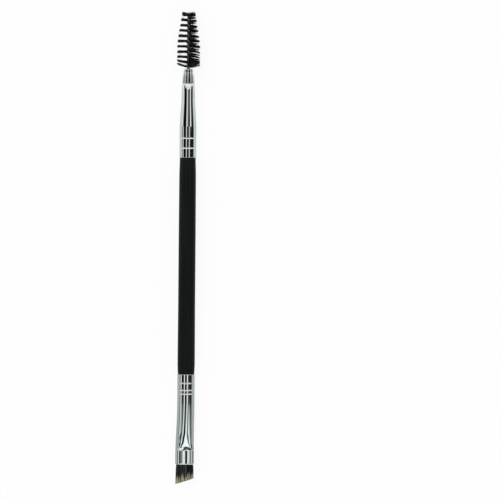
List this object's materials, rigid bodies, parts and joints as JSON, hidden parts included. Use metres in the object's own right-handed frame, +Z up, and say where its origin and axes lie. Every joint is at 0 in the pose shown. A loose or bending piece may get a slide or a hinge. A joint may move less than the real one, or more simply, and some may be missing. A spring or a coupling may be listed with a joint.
{
  "type": "two-ended eyebrow brush",
  "caption": "Slim two-ended eyebrow brush: angled flat tuft at one end, twisted-wire spoolie at the other, black wooden handle, bright metal ferrules.",
  "frame": {"origin": "centre of the brush's outline on the table that it lies on", "axes": "+Y along the brush towards the spoolie, +Z up from the table, X across the flat of the tuft with its long tip towards -X"},
  "size_m": [0.0084, 0.1699, 0.0083],
  "materials": {
    "black_lacquer": "satin black lacquer on turned wood",
    "bright_metal": "polished",
    "tuft_hair": "fine hair, dark at the root and cream at the tips",
    "resin": "cured resin",
    "steel_wire": "drawn steel wire",
    "black_nylon": "black nylon filament"
  },
  "bodies": {
    "root": {"handle": "black_lacquer", "tuft_ferrule": "bright_metal", "tuft_hair": "tuft_hair", "tuft_glue": "resin", "spoolie_ferrule": "bright_metal", "spoolie_wire": "steel_wire", "spoolie_bristles": "black_nylon", "spoolie_glue": "resin"}
  },
  "joints": []
}
